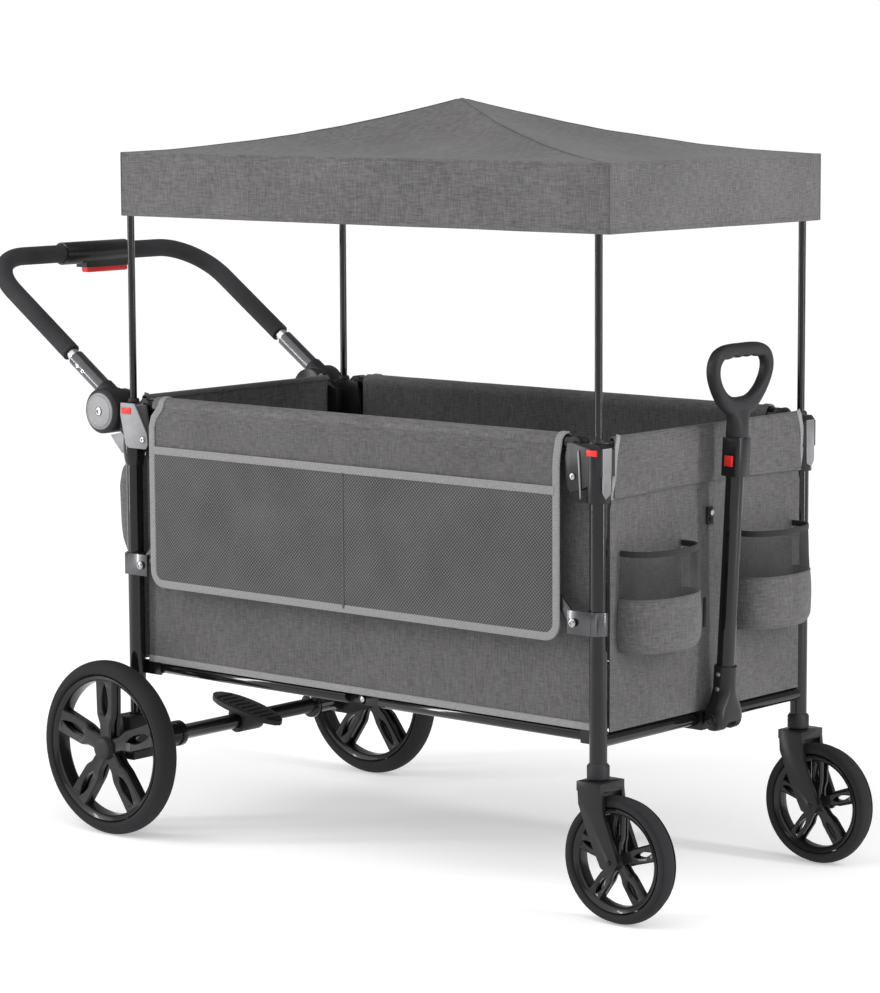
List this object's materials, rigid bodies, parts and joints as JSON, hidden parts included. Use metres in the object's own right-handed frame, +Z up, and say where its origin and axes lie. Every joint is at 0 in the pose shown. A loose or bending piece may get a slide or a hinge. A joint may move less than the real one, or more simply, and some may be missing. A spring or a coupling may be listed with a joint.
{
  "type": "stroller wagon",
  "caption": "Folding fabric-sided wagon with a canopy on poles, swivel front casters, large rear wheels, a rear push handle and a front pull handle.",
  "frame": {"origin": "middle of the outline seen from above, on the ground plane", "axes": "+X forward to the pull handle and swivel casters, +Y to the left side, +Z up"},
  "size_m": [1.4466, 0.664, 1.1675],
  "materials": {
    "powder_coat": "gloss black powder coat",
    "plastic": "fine grain black",
    "cloth": "heathered linen weave",
    "tyre": "matte",
    "tube_metal": "satin",
    "foam": "matte foam",
    "red": "satin",
    "board": "covered board"
  },
  "bodies": {
    "rear": {"rear_frame": "powder_coat", "rear_axle": "powder_coat", "rear_end_panel": "cloth", "rear_bag": "cloth", "rear_bracket_left": "plastic", "rear_bracket_right": "plastic", "axle_housing_left": "plastic", "axle_housing_right": "plastic", "rear_clamp_left": "powder_coat", "rear_clamp_right": "powder_coat", "rear_pole_left": "powder_coat", "rear_pole_right": "powder_coat", "side_panel_left": "cloth", "side_panel_right": "cloth"},
    "wheel_rear_left": {"rear_tyre_left": "tyre", "rear_rim_left": "plastic"},
    "wheel_rear_right": {"rear_tyre_right": "tyre", "rear_rim_right": "plastic"},
    "pedal": {"brake_pedal": "plastic"},
    "push_arms": {"push_hub_left": "plastic", "push_hub_right": "plastic", "push_tube_left": "tube_metal", "push_tube_right": "tube_metal"},
    "push_bow": {"push_bow": "tube_metal", "push_foam": "foam", "push_housing": "plastic"},
    "lever": {"push_lever": "red"},
    "floor_back": {"floor_rear": "board"},
    "floor_fore": {"floor_front": "board"},
    "top_back": {"top_rail_rear_left": "powder_coat", "top_rail_rear_right": "powder_coat"},
    "top_fore": {"top_rail_front_left": "powder_coat", "top_rail_front_right": "powder_coat"},
    "front": {"front_frame": "powder_coat", "front_end_panel": "cloth", "pull_bracket": "plastic", "front_bracket_left": "plastic", "front_bracket_right": "plastic", "cup_holder_left": "cloth", "cup_holder_right": "cloth", "front_clamp_left": "powder_coat", "front_clamp_right": "powder_coat", "front_pole_left": "powder_coat", "front_pole_right": "powder_coat"},
    "stays_back": {"rear_stay_left": "powder_coat", "rear_stay_right": "powder_coat"},
    "stays_fore": {"front_stay_left": "powder_coat", "front_stay_right": "powder_coat"},
    "caster_left": {"caster_fork_left": "plastic"},
    "caster_right": {"caster_fork_right": "plastic"},
    "caster_wheel_left": {"caster_tyre_left": "tyre", "caster_rim_left": "plastic"},
    "caster_wheel_right": {"caster_tyre_right": "tyre", "caster_rim_right": "plastic"},
    "pull": {"pull_foot": "plastic", "pull_tube": "powder_coat", "pull_collar": "plastic"},
    "pull_grip": {"pull_grip": "plastic"},
    "pull_button": {"pull_button": "red"},
    "canopy": {"canopy": "cloth"}
  },
  "joints": [
    {"name": "fold", "type": "hinge", "parent": "rear", "child": "floor_back", "pos_m": [-0.31672, 0, 0.262], "axis": [0, -1, 0], "range_deg": [0, 70], "deforming": ["side_panel_left", "side_panel_right", "canopy"]},
    {"name": "floor_centre", "type": "hinge", "parent": "floor_back", "child": "floor_fore", "pos_m": [0.11928, 0, 0.262], "axis": [0, -1, 0], "range_deg": [-140, 0]},
    {"name": "front_upright", "type": "hinge", "parent": "floor_fore", "child": "front", "pos_m": [0.55528, 0, 0.262], "axis": [0, -1, 0], "range_deg": [0, 70]},
    {"name": "top_rail_back", "type": "hinge", "parent": "rear", "child": "top_back", "pos_m": [-0.31672, 0, 0.686], "axis": [0, -1, 0], "range_deg": [-70, 0]},
    {"name": "top_rail_centre", "type": "hinge", "parent": "top_back", "child": "top_fore", "pos_m": [0.11928, 0, 0.686], "axis": [0, -1, 0], "range_deg": [0, 140]},
    {"name": "stay_back", "type": "hinge", "parent": "rear", "child": "stays_back", "pos_m": [-0.32072, 0, 0.431], "axis": [0, -1, 0], "range_deg": [0, 21.5]},
    {"name": "stay_fore", "type": "hinge", "parent": "front", "child": "stays_fore", "pos_m": [0.55928, 0, 0.431], "axis": [0, -1, 0], "range_deg": [-21.5, 0]},
    {"name": "brake_pedal", "type": "hinge", "parent": "rear", "child": "pedal", "pos_m": [-0.35172, 0, 0.14], "axis": [0, 1, 0], "range_deg": [-24, 0]},
    {"name": "push_angle", "type": "hinge", "parent": "rear", "child": "push_arms", "pos_m": [-0.40472, 0, 0.672], "axis": [0, 1, 0], "range_deg": [-55, 50]},
    {"name": "push_extend", "type": "slide", "parent": "push_arms", "child": "push_bow", "axis": [-0.8211, 0, 0.5707], "range_m": [0, 0.06]},
    {"name": "push_lever", "type": "slide", "parent": "push_bow", "child": "lever", "axis": [0, 0, 1], "range_m": [0, 0.003], "stiffness_N_per_m": 200, "springref_m": -0.004},
    {"name": "pull_swing", "type": "hinge", "parent": "front", "child": "pull", "pos_m": [0.62928, 0, 0.264], "axis": [0, 1, 0], "range_deg": [0, 105]},
    {"name": "pull_extend", "type": "slide", "parent": "pull", "child": "pull_grip", "axis": [0.0523, 0, 0.9986], "range_m": [0, 0.19]},
    {"name": "pull_button", "type": "slide", "parent": "pull", "child": "pull_button", "axis": [0, 1, 0], "range_m": [0, 0.002], "stiffness_N_per_m": 300, "springref_m": -0.003},
    {"name": "canopy_lift", "type": "slide", "parent": "rear", "child": "canopy", "axis": [0, 0, 1], "range_m": [0, 0.1]},
    {"name": "rear_wheel_left", "type": "hinge", "parent": "rear", "child": "wheel_rear_left", "pos_m": [-0.35172, 0.31, 0.14], "axis": [0, 1, 0], "continuous": true},
    {"name": "swivel_left", "type": "hinge", "parent": "front", "child": "caster_left", "pos_m": [0.59028, 0.247, 0.2047], "axis": [0, 0, 1], "continuous": true},
    {"name": "caster_spin_left", "type": "hinge", "parent": "caster_left", "child": "caster_wheel_left", "pos_m": [0.63028, 0.247, 0.093], "axis": [0, 1, 0], "continuous": true},
    {"name": "rear_wheel_right", "type": "hinge", "parent": "rear", "child": "wheel_rear_right", "pos_m": [-0.35172, -0.31, 0.14], "axis": [0, 1, 0], "continuous": true},
    {"name": "swivel_right", "type": "hinge", "parent": "front", "child": "caster_right", "pos_m": [0.59028, -0.247, 0.2047], "axis": [0, 0, 1], "continuous": true},
    {"name": "caster_spin_right", "type": "hinge", "parent": "caster_right", "child": "caster_wheel_right", "pos_m": [0.63028, -0.247, 0.093], "axis": [0, 1, 0], "continuous": true}
  ],
  "couplings": [
    {"joint": "floor_centre", "follows": "fold", "ratio": -2},
    {"joint": "front_upright", "follows": "fold", "ratio": 1},
    {"joint": "top_rail_back", "follows": "fold", "ratio": -1},
    {"joint": "top_rail_centre", "follows": "fold", "ratio": 2},
    {"joint": "stay_back", "follows": "fold", "ratio": 0.307},
    {"joint": "stay_fore", "follows": "fold", "ratio": -0.307}
  ]
}
